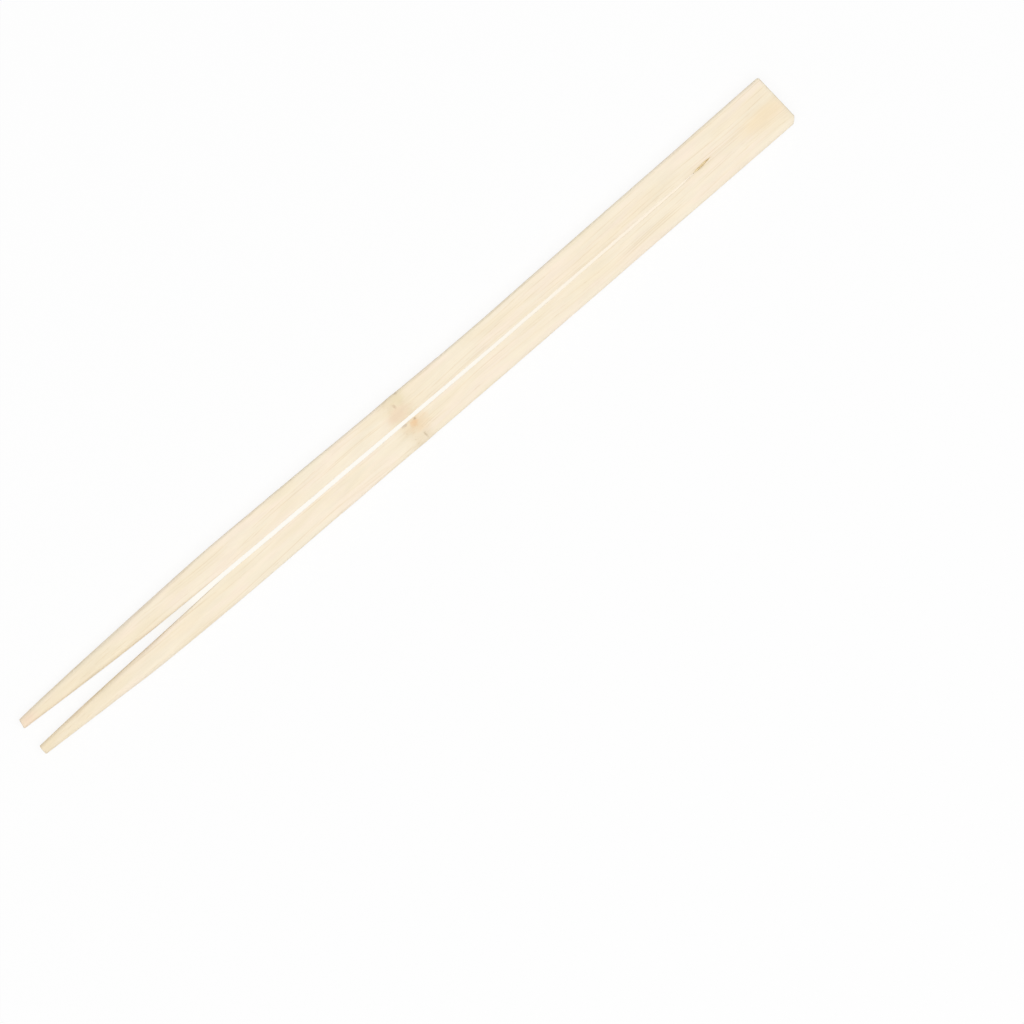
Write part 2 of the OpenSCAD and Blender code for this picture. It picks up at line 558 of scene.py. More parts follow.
@dataclass(frozen=True)
class CrackForm:
    """How the crack is torn, in millimetres: its ragged rims, the seam beyond it and its rising floor."""

    ragged_half: float = 0.2
    rim_ripples: tuple[Ripple, ...] = (Ripple(0.05, 0.45, 7.5), Ripple(0.03, 1.4, 2.5))
    seam_half: float = 0.04
    seam_spread: Ramp = Ramp(0.3, 0.0, 6.0)
    wall_power: float = 1.2
    floor_power: float = 3.0
    runout: Ramp = Ramp(1.0, 0.1, 1.8)
    bridge_share: float = 0.15
    bridge_fall: Ramp = Ramp(0.85, 0.1, 2.3)
    strands: tuple[Mottle, ...] = (Mottle(0.3, 2.6, 1.3, 13.5), Mottle(0.12, 0.5, 1.0, 8.5))


@dataclass(frozen=True)
class GrainLayer:
    """A layer of raised grain: its height, its spacing along and across, and its drift across and up."""

    height: float
    along: float
    across: float
    drift_y: float = 0.0
    drift_z: float = 0.0


@dataclass(frozen=True)
class Pit:
    """A small pit in the top of the node: its place, its size and its depth, in millimetres."""

    x: float
    y: float
    size: float
    depth: float
    up_share: float = 2.2


@dataclass(frozen=True)
class SurfaceRelief:
    """The grain of the bamboo and the form of its node, in millimetres."""

    drift: Ripple = Ripple(0.4, 30.0, 15.5)
    layers: tuple[GrainLayer, ...] = (
        GrainLayer(0.016, 38.0, 0.55, 1.0, 1.0),
        GrainLayer(0.008, 14.0, 0.33, 1.0, -1.0),
        GrainLayer(0.012, 8.0, 5.0),
    )
    node_wobble: Mottle = Mottle(0.7, 2.2, 2.0, 40.5)
    node_ridge: Swell = Swell(0.04, 0.0, 1.9)
    node_grooves: tuple[Swell, ...] = tuple(Swell(0.03, line, 0.28) for line in NODE_LINES)
    groove_breaks: Mottle = Mottle(1.0, 1.3, 1.3, 27.5)
    pits: tuple[Pit, ...] = (
        Pit(-0.2, 3.75, 0.38, 0.05),
        Pit(1.1, -5.4, 0.4, 0.06),
        Pit(1.95, 6.35, 0.4, 0.2),
        Pit(1.5, -1.0, 0.45, 0.08),
    )

    def at(self, place: Array, top: float) -> Array:
        """Works out the relief.

        Args:
            place: Places in millimetres.
            top: Height of the strip's top face.

        Returns:
            How far each place stands out.
        """
        x, y, z = place.T
        drift = self.drift.at(x)
        height = np.zeros_like(x)
        for layer in self.layers:
            across, up = y + layer.drift_y * drift, z + layer.drift_z * drift
            height += layer.height * GRAIN.at(x / layer.along, across / layer.across, up / layer.across)
        from_node = x - NODE_X + self.node_wobble.at(y, z)
        broken = eased(0.5 + self.groove_breaks.at(y, z))
        height += self.node_ridge.at(from_node)
        for groove in self.node_grooves:
            height -= groove.at(from_node) * broken
        for pit in self.pits:
            level = ((x - pit.x) / pit.size) ** 2 + ((y - pit.y) / pit.size) ** 2
            height -= pit.depth * np.exp(-level - ((z - top) / (pit.up_share * pit.size)) ** 2)
        return height


@dataclass
class ChopstickPair:
    """The joined pair: builds its mesh from a blank and dresses it."""

    sizes: StripSizes = field(default_factory=StripSizes)
    crack: CrackForm = field(default_factory=CrackForm)
    relief: SurfaceRelief = field(default_factory=SurfaceRelief)
    tip_cut: EndCut = EndCut(4.0, 6.0, Mottle(0.05, 0.7, 0.6, 4.5))
    head_cut: EndCut = EndCut(12.0, 30.0, Mottle(0.04, 0.8, 0.7, 31.5))
    wall_grain_share: float = 0.2
    wall_grain_growth: Ramp = Ramp(0.8, 0.0, 12.0)
    # How far from an edge its tint of wear and painted shade reaches, in millimetres
    wear_and_shade_reach: float = 0.55
    leg_columns: int = 36
    slit_columns: int = 10
    rows: int = 22
    crowding: float = 0.42
    smooth_angle: float = 42.0
    faces_down: float = -0.7
    torn_margin: float = 0.05
    name: str = "bamboo_pair"

    def __post_init__(self) -> None:
        """Sets up the plan and the stations."""
        self.plan = StripPlan(self.sizes)
        self.xs = self.stations()
        self.slit_station = int(np.argmin(np.abs(self.xs - self.sizes.slit_x)))

    @property
    def first_upper(self) -> int:
        """Column of the upper leg's wall, as leg_columns is that of the lower leg's."""
        return self.leg_columns + self.slit_columns

    def stations(self) -> Array:
        """Spaces out the rows of points along the strip, close together where there is detail.

        Returns:
            Their places along the strip, from the tips to the head.
        """
        s = self.sizes
        # The space between two rows of points up to each place
        step_before = {
            s.tip_x + 0.6: 0.075,
            s.tip_x + 3.0: 0.3,
            NODE_X - 5.0: 0.82,
            NODE_X + 5.0: 0.25,
            s.slit_x - 2.4: 0.82,
            s.slit_x: 0.24,
            s.crack_end_x + 0.6: 0.2,
            s.head_x - 2.0: 0.8,
            s.head_x - 0.5: 0.18,
            s.head_x: 0.0625,
        }
        places = [s.tip_x]
        for end, step in step_before.items():
            count = max(1, round((end - places[-1]) / step))
            places.extend(np.linspace(places[-1], end, count + 1)[1:])
        return np.array(places)

    def crowded(self, share: Array) -> Array:
        """Returns even shares from 0 to 1 drawn towards both ends, where the edges are rounded."""
        return share - self.crowding * np.sin(2.0 * np.pi * share) / (2.0 * np.pi)

    def leg_section(self, leg: Leg, x: Array, across: Array, up: Array) -> Array:
        """Places points on the sections of one leg.

        Args:
            leg: The leg.
            x: Place along the strip.
            across: Share across the leg, from 0 at low y to 1.
            up: Share up the leg, from 0 at the underside to 1.

        Returns:
            The places along, across and up, one row a point.
        """
        s = self.sizes
        outer, wall = self.plan.outer(leg, x), self.plan.wall(leg, x)
        half_y = np.abs(outer - wall) / 2
        half_y = half_y - (half_y - s.tip_width / 2) * s.taper(x)
        half_z = s.half_height(x)
        turned = eased((s.taper_x - x) / (s.tip_turned_share * s.taper_length))
        sharp = s.slit_least_radius + s.slit_edge_radius * eased((s.slit_x - x) / s.slit_edge_length)
        radii = [radius + (s.tip_round_share * half_z - radius) * turned for radius in (s.edge_radius, sharp)]
        low, high = radii if leg is Leg.LOWER else reversed(radii)
        inset = s.tip_break_share * end_inset(x - s.tip_x, s.tip_break)
        half_y, half_z = half_y - inset, half_z - inset
        y, z = rounded((2.0 * across - 1.0) * half_y, (2.0 * up - 1.0) * half_z, half_y, half_z, low, high)
        y = y + (outer + wall) / 2
        z = z + s.thickness / 2
        near = self.tip_cut.near(x - s.tip_x)
        if leg is Leg.UPPER:
            from_slit = np.clip(y - self.plan.tip_middles[leg] + s.tip_width / 2, 0.0, None)
            x = x + near * from_slit * s.tip_skew / s.tip_width
        rough = self.tip_cut.roughness.at(y, z, leg.value)
        return np.stack((x + near**self.tip_cut.sharpness * rough, y, z), axis=1)

    def ragged(self, x: Array) -> Array:
        """Returns how ragged the crack is at each place, from 0 to 1."""
        return eased(self.plan.crack_half(x) / self.crack.ragged_half)

    def rim(self, leg: Leg, x: Array) -> Array:
        """Works out a rim of the crack, which goes on as one side of a closed seam to the head end.

        Args:
            leg: The leg on whose side the rim lies.
            x: Place along the strip.

        Returns:
            The rim's places across the strip.
        """
        seam = self.crack.seam_half + self.crack.seam_spread.at(x - self.sizes.crack_end_x)
        half = np.maximum(self.plan.crack_half(x), seam)
        jag = sum(ripple.at(x, leg.value) for ripple in self.crack.rim_ripples)
        return self.plan.crack_line(x) + leg.value * half + self.ragged(x) * jag

    def crack_drop(self, x: Array, column: Array, from_middle: Array) -> Array:
        """Works out how far the crack's floor lies below the top.

        Args:
            x: Place along the strip.
            column: Column of the blank.
            from_middle: Place across the crack, from -1 at its lower rim to 1.

        Returns:
            The depth of the floor, none outside the crack.
        """
        s, crack = self.sizes, self.crack
        bridge = crack.bridge_share + crack.bridge_fall.at(x - s.slit_x)
        depth = s.crack_depth * crack.runout.at(s.crack_end_x - x) * bridge
        strands = sum(strand.at(x, column) for strand in crack.strands)
        drop = depth * (1.0 - np.abs(from_middle) ** crack.floor_power) * (1.0 + strands)
        return np.where(self.plan.crack_half(x) > 0.0, drop, 0.0)

    def head_section(self, x: Array, column: Array, up: Array) -> Array:
        """Places points on the sections of the head, with the crack let into its top.

        Args:
            x: Place along the strip.
            column: Column of the blank.
            up: Share up the head, from 0 at the underside to 1.

        Returns:
            The places along, across and up, one row a point.
        """
        s = self.sizes
        low, high = self.plan.outer(Leg.LOWER, x), self.plan.outer(Leg.UPPER, x)
        low_rim, high_rim = self.rim(Leg.LOWER, x), self.rim(Leg.UPPER, x)
        lower_share = self.crowded(np.clip(column / self.leg_columns, 0.0, 1.0))
        upper_share = self.crowded(np.clip((column - self.first_upper) / self.leg_columns, 0.0, 1.0))
        centred = 2.0 * np.clip((column - self.leg_columns) / self.slit_columns, 0.0, 1.0) - 1.0
        power = 1.0 + self.crack.wall_power * self.ragged(x)
        from_middle = np.sign(centred) * (1.0 - (1.0 - np.abs(centred)) ** power)
        in_crack = (low_rim + high_rim) / 2 + from_middle * (high_rim - low_rim) / 2
        y = np.where(column > self.leg_columns, in_crack, low + lower_share * (low_rim - low))
        y = np.where(column >= self.first_upper, high_rim + upper_share * (high - high_rim), y)
        inset = end_inset(s.head_x - x, s.head_edge_radius)
        half_y = (high - low) / 2 - s.head_edge_side_share * inset
        half_z = s.thickness / 2 - inset
        centre = (high + low) / 2
        across = (y - centre) / ((high - low) / 2) * half_y
        radius = np.full_like(x, s.edge_radius)
        round_y, round_z = rounded(across, (2.0 * up - 1.0) * half_z, half_y, half_z, radius, radius)
        z = round_z + s.thickness / 2
        in_slit = (column > self.leg_columns) & (column < self.first_upper)
        y = np.where(in_slit, y, round_y + centre)
        z = np.where(in_slit, z * (1.0 - self.crack_drop(x, column, from_middle) / s.thickness), z)
        near = self.head_cut.near(s.head_x - x)
        x = x - near * (s.head_x - self.plan.head_end(y))
        rough = self.head_cut.roughness.at(y, z)
        return np.stack((x + near**self.head_cut.sharpness * rough, y, z), axis=1)

    def build(self) -> bpy.types.Object:
        """Shapes the strip from its blank.

        Returns:
            The finished piece, at the origin.
        """
        last_station = len(self.xs) - 1
        blank = Blank(last_station, self.leg_columns, self.slit_columns, self.rows, self.slit_station)
        piece = blank.saw(self.name)
        cells = blank.cells()
        x = self.xs[cells.station]
        up = 1.0 - self.crowded(cells.row / self.rows)
        place = self.head_section(x, cells.column, up)
        beside_slit = cells.station < self.slit_station
        for leg in Leg:
            first = 0 if leg is Leg.LOWER else self.first_upper
            share = (cells.column - first) / self.leg_columns
            picked = beside_slit & (share >= 0.0) & (share <= 1.0)
            place[picked] = self.leg_section(leg, x[picked], self.crowded(share[picked]), up[picked])
        self.write(piece, place)
        on_wall = beside_slit & np.isin(cells.column, (self.leg_columns, self.first_upper))
        self.roughen(piece, place, on_wall)
        self.mark_edge_wear_and_shade(piece, place)
        self.sort_faces(piece, cells)
        bpy.ops.object.select_all(action="DESELECT")
        piece.select_set(True)
        bpy.context.view_layer.objects.active = piece
        bpy.ops.object.shade_smooth_by_angle(angle=math.radians(self.smooth_angle))
        return piece

    def write(self, piece: bpy.types.Object, place: Array) -> None:
        """Writes places in millimetres to the mesh in metres."""
        piece.data.vertices.foreach_set("co", (place * MM).astype(np.float32).ravel())
        piece.data.update()

    def roughen(self, piece: bpy.types.Object, place: Array, on_wall: Array) -> None:
        """Raises the grain of the surface along its normals, and keeps the underside on its rest plane.

        Args:
            piece: The shaped strip.
            place: Its places in millimetres, changed in step.
            on_wall: Which places lie on the walls of the slit, where the saw left little grain.
        """
        flat = np.zeros(len(place) * 3, np.float32)
        piece.data.vertex_normals.foreach_get("vector", flat)
        normals = flat.reshape(-1, 3).astype(float)
        height = self.relief.at(place, self.sizes.thickness)
        grown = self.wall_grain_share + self.wall_grain_growth.at(self.sizes.taper_x - place[:, 0])
        height = np.where(on_wall, grown * height, height)
        height = np.where(normals[:, 2] < self.faces_down, np.minimum(height, 0.0), height)
        place += normals * height[:, None]
        place[:, 2] = np.clip(place[:, 2], 0.0, None)
        self.write(piece, place)

    def mark_edge_wear_and_shade(self, piece: bpy.types.Object, place: Array) -> None:
        """Stores how close each point lies to a handled outer edge, for the finish's edge tint, which is
        partly wear and partly painted shade of the rounded edges.

        Args:
            piece: The strip.
            place: Its places in millimetres.
        """
        s = self.sizes
        x, y, z = place.T
        low, high = self.plan.outer(Leg.LOWER, x), self.plan.outer(Leg.UPPER, x)
        from_face = s.half_height(x) - np.abs(z - s.thickness / 2)
        from_side = np.minimum(y - low, high - y)
        from_end = self.plan.head_end(y) - x
        away = np.maximum(np.minimum(from_side, from_end), from_face)
        # Mask near the outer edges and ends, fading out along the tips: partly wear, partly painted shade of
        # the rounded edges
        worn_and_shaded = np.exp(-np.clip(away, 0.0, None) / self.wear_and_shade_reach) * (1.0 - s.taper(x))
        layer = piece.data.attributes.new("edge_wear_and_shade", "FLOAT", "POINT")
        layer.data.foreach_set("value", worn_and_shaded.astype(np.float32))

    def sort_faces(self, piece: bpy.types.Object, cells: Cells) -> None:
        """Gives each face the finish of the tool that left it.

        Args:
            piece: The strip.
            cells: The cell of each vertex.
        """
        mesh = piece.data
        corners = np.zeros(len(mesh.polygons) * 4, int)
        mesh.polygons.foreach_get("vertices", corners)
        corners = corners.reshape(-1, 4)
        station, column, row = cells.station[corners], cells.column[corners], cells.row[corners]
        x = self.xs[station].mean(axis=1)
        on_wall = np.all(column == self.leg_columns, axis=1) | np.all(column == self.first_upper, axis=1)
        in_slit = np.all((column >= self.leg_columns) & (column <= self.first_upper), axis=1)
        at_end = np.all(station == 0, axis=1) | np.all(station == len(self.xs) - 1, axis=1)
        sawn = at_end | (on_wall & (x > self.sizes.taper_x))
        in_crack = np.all(row == 0, axis=1) & (x < self.sizes.crack_end_x - self.torn_margin)
        torn = in_slit & (in_crack | np.all(station == self.slit_station, axis=1))
        finish = np.where(torn, Finish.TORN.value, np.where(sawn, Finish.SAWN.value, Finish.PLANED.value))
        mesh.polygons.foreach_set("material_index", finish.astype(np.int32))

    def dress(self, piece: bpy.types.Object, finishes: dict[Finish, bpy.types.Material]) -> None:
        """Puts the finishes on the piece and ties it to the solid that it stands for.

        Args:
            piece: The strip.
            finishes: The material of each finish.
        """
        for finish in Finish:
            piece.data.materials.append(finishes[finish])
        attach(piece, "root")
        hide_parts("chopstick_pair")


class NodeSheet:
    """Short calls that add and wire shader nodes in one tree."""

    ROW_LENGTH: int = 10
    SPACING: tuple[float, float] = (220.0, -260.0)
    NOISE_ROUGHNESS: float = 0.55

    def __init__(self, tree: bpy.types.NodeTree) -> None:
        """Starts on a tree, which it empties."""
        tree.nodes.clear()
        self.tree = tree

    def node(self, kind: str, *values: Value, **settings: object) -> bpy.types.Node:
        """Adds a node, laid out in rows.

        Args:
            kind: Blender's name for the node.
            values: What goes into its inputs, in their order.
            settings: Its own settings.

        Returns:
            The node.
        """
        row, place = divmod(len(self.tree.nodes), self.ROW_LENGTH)
        made = self.tree.nodes.new(kind)
        made.location = (self.SPACING[0] * place, self.SPACING[1] * row)
        for name, setting in settings.items():
            setattr(made, name, setting)
        for socket, value in zip(made.inputs, values):
            self.put(socket, value)
        return made

    def put(self, socket: Socket, value: Value) -> None:
        """Links a socket to another one, or sets its own value.

        Args:
            socket: The input to fill.
            value: A socket, a number, a vector or a colour.
        """
        if isinstance(value, Socket):
            self.tree.links.new(value, socket)
        else:
            socket.default_value = value

    def math(self, operation: str, *values: Value) -> Socket:
        """Adds a Math node and returns its result."""
        return self.node("ShaderNodeMath", *values, operation=operation).outputs[0]

    def times(self, value: Value, factor: Value) -> Socket:
        """Multiplies a value by a factor."""
        return self.math("MULTIPLY", value, factor)

    def weighted(self, start: Value, *parts: tuple[Value, float]) -> Value:
        """Adds up values by their weights.

        Args:
            start: What the sum starts from.
            parts: Each value with its weight.

        Returns:
            The sum.
        """
        total = start
        for value, weight in parts:
            total = self.math("MULTIPLY_ADD", value, weight, total)
        return total

    def vector(self, operation: str, *values: Value) -> Socket:
        """Adds a Vector Math node and returns its vector."""
        return self.node("ShaderNodeVectorMath", *values, operation=operation).outputs["Vector"]

    def length(self, vector: Value) -> Socket:
        """Returns the length of a vector."""
        return self.node("ShaderNodeVectorMath", vector, operation="LENGTH").outputs["Value"]

    def parts(self, vector: Value) -> tuple[Socket, ...]:
        """Splits a vector into its three parts."""
        return tuple(self.node("ShaderNodeSeparateXYZ", vector).outputs)

    def joined(self, x: Value, y: Value, z: Value) -> Socket:
        """Joins three parts into a vector."""
        return self.node("ShaderNodeCombineXYZ", x, y, z).outputs[0]

    def step(self, value: Value, start: float, end: float, low: float = 0.0, high: float = 1.0) -> Socket:
        """Adds a smooth step from low to high as the value goes from start to end."""
        limits = (start, end, low, high)
        return self.node("ShaderNodeMapRange", value, *limits, interpolation_type="SMOOTHSTEP").outputs[0]

    def texture(self, place: Value, scale: Triple, detail: float) -> bpy.types.Node:
        """Adds a noise texture.

        Args:
            place: Places in millimetres.
            scale: Cells a millimetre along each axis.
            detail: Finer layers on top of the first one.

        Returns:
            The texture's node.
        """
        made = self.node("ShaderNodeTexNoise", self.vector("MULTIPLY", place, scale), noise_dimensions="3D")
        made.inputs["Scale"].default_value = 1.0
        made.inputs["Detail"].default_value = detail
        made.inputs["Roughness"].default_value = self.NOISE_ROUGHNESS
        return made

    def noise(self, place: Value, scale: Triple, detail: float) -> Socket:
        """Adds a noise from 0 to 1."""
        return self.texture(place, scale, detail).outputs["Fac"]

    def wander(self, place: Value, scale: Triple, detail: float) -> Socket:
        """Adds a noise around 0."""
        return self.math("SUBTRACT", self.noise(place, scale, detail), 0.5)

    def moved(self, place: Value, by: Value, scale: Triple, reach: Value) -> Socket:
        """Moves places by a slow noise that differs along each axis.

        Args:
            place: The places to move.
            by: The places at which the noise is read.
            scale: Cells of the noise a millimetre along each axis.
            reach: How far it moves them along each axis.

        Returns:
            The moved places.
        """
        noise = self.texture(by, scale, 1.0).outputs["Color"]
        centred = self.vector("SUBTRACT", noise, (0.5, 0.5, 0.5))
        return self.vector("ADD", place, self.vector("MULTIPLY", centred, reach))

    def mix(self, share: Value, first: Value, second: Value, blend: str = "MIX") -> Socket:
        """Mixes two colours.

        Args:
            share: Share of the second one.
            first: The first colour.
            second: The second colour.
            blend: How they are mixed.

        Returns:
            The mixed colour.
        """
        made = self.node("ShaderNodeMix", share, data_type="RGBA", blend_type=blend)
        self.put(made.inputs[6], first)
        self.put(made.inputs[7], second)
        return made.outputs[2]


class Effect:
    """A pattern that several finishes share, kept as one node group that reads places in millimetres."""

    name: ClassVar[str] = ""
    takes: ClassVar[dict[str, Value]] = {}
    gives: ClassVar[tuple[str, ...]] = ()

    def wire(self, sheet: NodeSheet, given: dict[str, Socket]) -> tuple[Value, ...]:
        """Wires the pattern inside the group.

        Args:
            sheet: The group's nodes.
            given: The group's inputs by name.

        Returns:
            The pattern's results, in the order of gives.
        """
        raise NotImplementedError

    def group(self) -> bpy.types.NodeTree:
        """Finds the effect's node group, or makes it at the first call.

        Returns:
            The group.
        """
        tree = bpy.data.node_groups.get(self.name)
        if tree is not None:
            return tree
        tree = bpy.data.node_groups.new(self.name, "ShaderNodeTree")
        tree.interface.new_socket(name="Place", in_out="INPUT", socket_type="NodeSocketVector")
        for name, value in self.takes.items():
            kind = "NodeSocketFloat" if isinstance(value, float) else "NodeSocketVector"
            tree.interface.new_socket(name=name, in_out="INPUT", socket_type=kind).default_value = value
        for name in self.gives:
            tree.interface.new_socket(name=name, in_out="OUTPUT", socket_type="NodeSocketFloat")
        sheet = NodeSheet(tree)
        entry = sheet.node("NodeGroupInput")
        results = self.wire(sheet, {socket.name: socket for socket in entry.outputs if socket.name})
        sheet.node("NodeGroupOutput", *results)
        return tree

    def place(self, sheet: NodeSheet, where: Value, **values: Value) -> dict[str, Socket]:
        """Puts the effect in a material.

        Args:
            sheet: The material's nodes.
            where: Places in millimetres.
            values: Values of the effect's own inputs.

        Returns:
            The effect's results by name.
        """
        made = sheet.node("ShaderNodeGroup", node_tree=self.group())
        sheet.put(made.inputs["Place"], where)
        for name, value in values.items():
            sheet.put(made.inputs[name], value)
        return {socket.name: socket for socket in made.outputs}


class FibreGrain(Effect):
    """Fibre bundles that run the length of the culm: streaks along it and dots on a cross cut."""

    name = "fibre grain"
    gives = ("Bundle", "Pore", "Fine", "Fleck", "Height")

    SPACING: float = 0.66
    DRIFT: Triple = (0.022, 0.1, 0.1)
    DRIFT_REACH: Triple = (0.0, 3.4, 3.4)
    SWIRL: Triple = (0.42, 0.55, 0.55)
    SWIRL_REACH: float = 2.2
    THICKNESS: Triple = (0.03, 0.9, 0.9)
    THICKNESS_SHARE: float = 0.22
    FINE: Triple = (0.045, 7.5, 7.5)
    FLECKS: Triple = (0.34, 6.0, 6.0)
    DISORDER: float = 0.85

    def wire(self, sheet: NodeSheet, given: dict[str, Socket]) -> tuple[Value, ...]:
        """Wires bundles that wander along the culm and swirl at the node, with pores, fine fibres and flecks.

        Args:
            sheet: The group's nodes.
            given: The group's inputs by name.

        Returns:
            The bundles, pores, fine fibres, flecks and their relief.
        """
        place = given["Place"]
        x, _, _ = sheet.parts(place)
        at_node = sheet.step(sheet.math("ABSOLUTE", x), 4.5, 0.5)
        swirl = sheet.times(at_node, self.SWIRL_REACH)
        moved = sheet.moved(place, place, self.DRIFT, self.DRIFT_REACH)
        moved = sheet.moved(moved, place, self.SWIRL, sheet.joined(0.0, swirl, swirl))
        _, across, up = sheet.parts(moved)
        cells = sheet.node("ShaderNodeTexVoronoi", voronoi_dimensions="2D", feature="F1")
        sheet.put(cells.inputs["Vector"], sheet.joined(across, up, 0.0))
        cells.inputs["Scale"].default_value = 1.0 / self.SPACING
        cells.inputs["Randomness"].default_value = self.DISORDER
        thinner = sheet.wander(moved, self.THICKNESS, 1.0)
        away = sheet.weighted(cells.outputs["Distance"], (thinner, self.THICKNESS_SHARE))
        bundle = sheet.step(away, 0.34, 0.1)
        pore = sheet.step(away, 0.1, 0.03)
        fine = sheet.step(sheet.noise(moved, self.FINE, 3.0), 0.36, 0.66)
        fleck = sheet.step(sheet.noise(moved, self.FLECKS, 1.5), 0.635, 0.72)
        fleck = sheet.times(fleck, sheet.step(away, 0.5, 0.2))
        height = sheet.weighted(0.0, (bundle, 0.45), (fine, 0.4), (pore, -0.7), (fleck, -0.5))
        return bundle, pore, fine, fleck, height


class CulmTone(Effect):
    """Slow changes of tone along the culm."""

    name = "culm tone"
    gives = ("Warm", "Straw", "Cloud")

    WARM: Triple = (0.07, 0.24, 0.2)
    STRAW: Triple = (0.055, 0.3, 0.2)
    STRAW_SHIFT: Triple = (61.0, 17.0, 9.0)
    CLOUD: Triple = (0.11, 0.6, 0.5)
    CLOUD_SHIFT: Triple = (-140.0, 33.0, 5.0)

    def wire(self, sheet: NodeSheet, given: dict[str, Socket]) -> tuple[Value, ...]:
        """Wires long patches of three tones.

        Args:
            sheet: The group's nodes.
            given: The group's inputs by name.

        Returns:
            The warm patches, the straw-coloured ones and the clouds.
        """
        place = given["Place"]
        warm = sheet.step(sheet.noise(place, self.WARM, 2.0), 0.4, 0.64)
        aside = sheet.vector("ADD", place, self.STRAW_SHIFT)
        straw = sheet.step(sheet.noise(aside, self.STRAW, 2.0), 0.42, 0.68)
        far = sheet.vector("ADD", place, self.CLOUD_SHIFT)
        return warm, straw, sheet.noise(far, self.CLOUD, 3.0)


class NodeRing(Effect):
    """The ring where the culm had a joint: a tan band with two broken lines across it."""

    name = "node ring"
    gives = ("Band", "Line", "Height")

    WOBBLE: Triple = (0.15, 0.42, 0.42)
    WOBBLE_REACH: float = 2.4
    STREAKS: Triple = (0.05, 2.6, 2.6)
    STREAK_REACH: float = 4.5
    PATCHES: Triple = (0.2, 0.5, 0.5)
    BREAKS: Triple = (0.4, 1.2, 1.2)

    def wire(self, sheet: NodeSheet, given: dict[str, Socket]) -> tuple[Value, ...]:
        """Wires the band, its lines and their relief.

        Args:
            sheet: The group's nodes.
            given: The group's inputs by name.

        Returns:
            The band, the lines and their relief.
        """
        place = given["Place"]
        x, _, _ = sheet.parts(place)
        x = sheet.weighted(x, (sheet.wander(place, self.WOBBLE, 2.0), self.WOBBLE_REACH))
        drawn = sheet.weighted(x, (sheet.wander(place, self.STREAKS, 3.0), self.STREAK_REACH))
        band = sheet.step(sheet.math("ABSOLUTE", drawn), 5.2, 0.4)
        away = [sheet.math("ABSOLUTE", sheet.math("SUBTRACT", x, line)) for line in NODE_LINES]
        nearest = sheet.math("MINIMUM", *away)
        patchy = sheet.step(sheet.noise(place, self.PATCHES, 2.0), 0.36, 0.64)
        broken = sheet.step(sheet.noise(place, self.BREAKS, 2.0), 0.53, 0.68)
        soft = sheet.times(sheet.step(nearest, 1.15, 0.1), patchy)
        sharp = sheet.times(sheet.step(nearest, 0.34, 0.04), broken)
        line = sheet.math("MAXIMUM", sheet.times(soft, 0.5), sharp)
        return band, line, sheet.weighted(0.0, (band, 0.3), (line, -1.0))


class Stain(Effect):
    """A soft stain in the wood around one place."""

    name = "stain"
    takes = {"Centre": (0.0, 0.0, 0.0), "Reach": (1.0, 1.0, 1.0), "Ragged": 0.5}
    gives = ("Mask",)

    RAGS: Triple = (1.5, 1.5, 1.5)
    RAG_SHIFT: Triple = (0.37, 0.61, 0.0)

    def wire(self, sheet: NodeSheet, given: dict[str, Socket]) -> tuple[Value, ...]:
        """Wires an oval that fades out over a ragged rim.

        Args:
            sheet: The group's nodes.
            given: The group's inputs by name.

        Returns:
            The mask of the stain.
        """
        away = sheet.vector("SUBTRACT", given["Place"], given["Centre"])
        away = sheet.vector("DIVIDE", away, given["Reach"])
        moved = sheet.vector("ADD", away, sheet.vector("MULTIPLY", given["Centre"], self.RAG_SHIFT))
        ragged = sheet.times(sheet.wander(moved, self.RAGS, 3.0), given["Ragged"])
        return (sheet.step(sheet.math("ADD", sheet.length(away), ragged), 1.0, 0.2),)


class SawMarks(Effect):
    """The marks that a saw leaves across a cut."""

    name = "saw marks"
    gives = ("Mark",)

    SCORES: Triple = (2.6, 0.08, 1.0)
    SLANT_UP: float = 0.55
    SLANT_ACROSS: float = 0.06

    def wire(self, sheet: NodeSheet, given: dict[str, Socket]) -> tuple[Value, ...]:
        """Wires slanting scores of uneven depth.

        Args:
            sheet: The group's nodes.
            given: The group's inputs by name.

        Returns:
            The scores.
        """
        x, y, z = sheet.parts(given["Place"])
        slant = sheet.weighted(x, (z, self.SLANT_UP), (y, self.SLANT_ACROSS))
        return (sheet.noise(sheet.joined(slant, z, 0.0), self.SCORES, 3.0),)


@dataclass(frozen=True)
class StainSpot:
    """One stain: its centre and reach in millimetres, its colour, how strong it is and how ragged."""

    centre: Triple
    reach: Triple
    colour: Colour
    share: float
    ragged: float


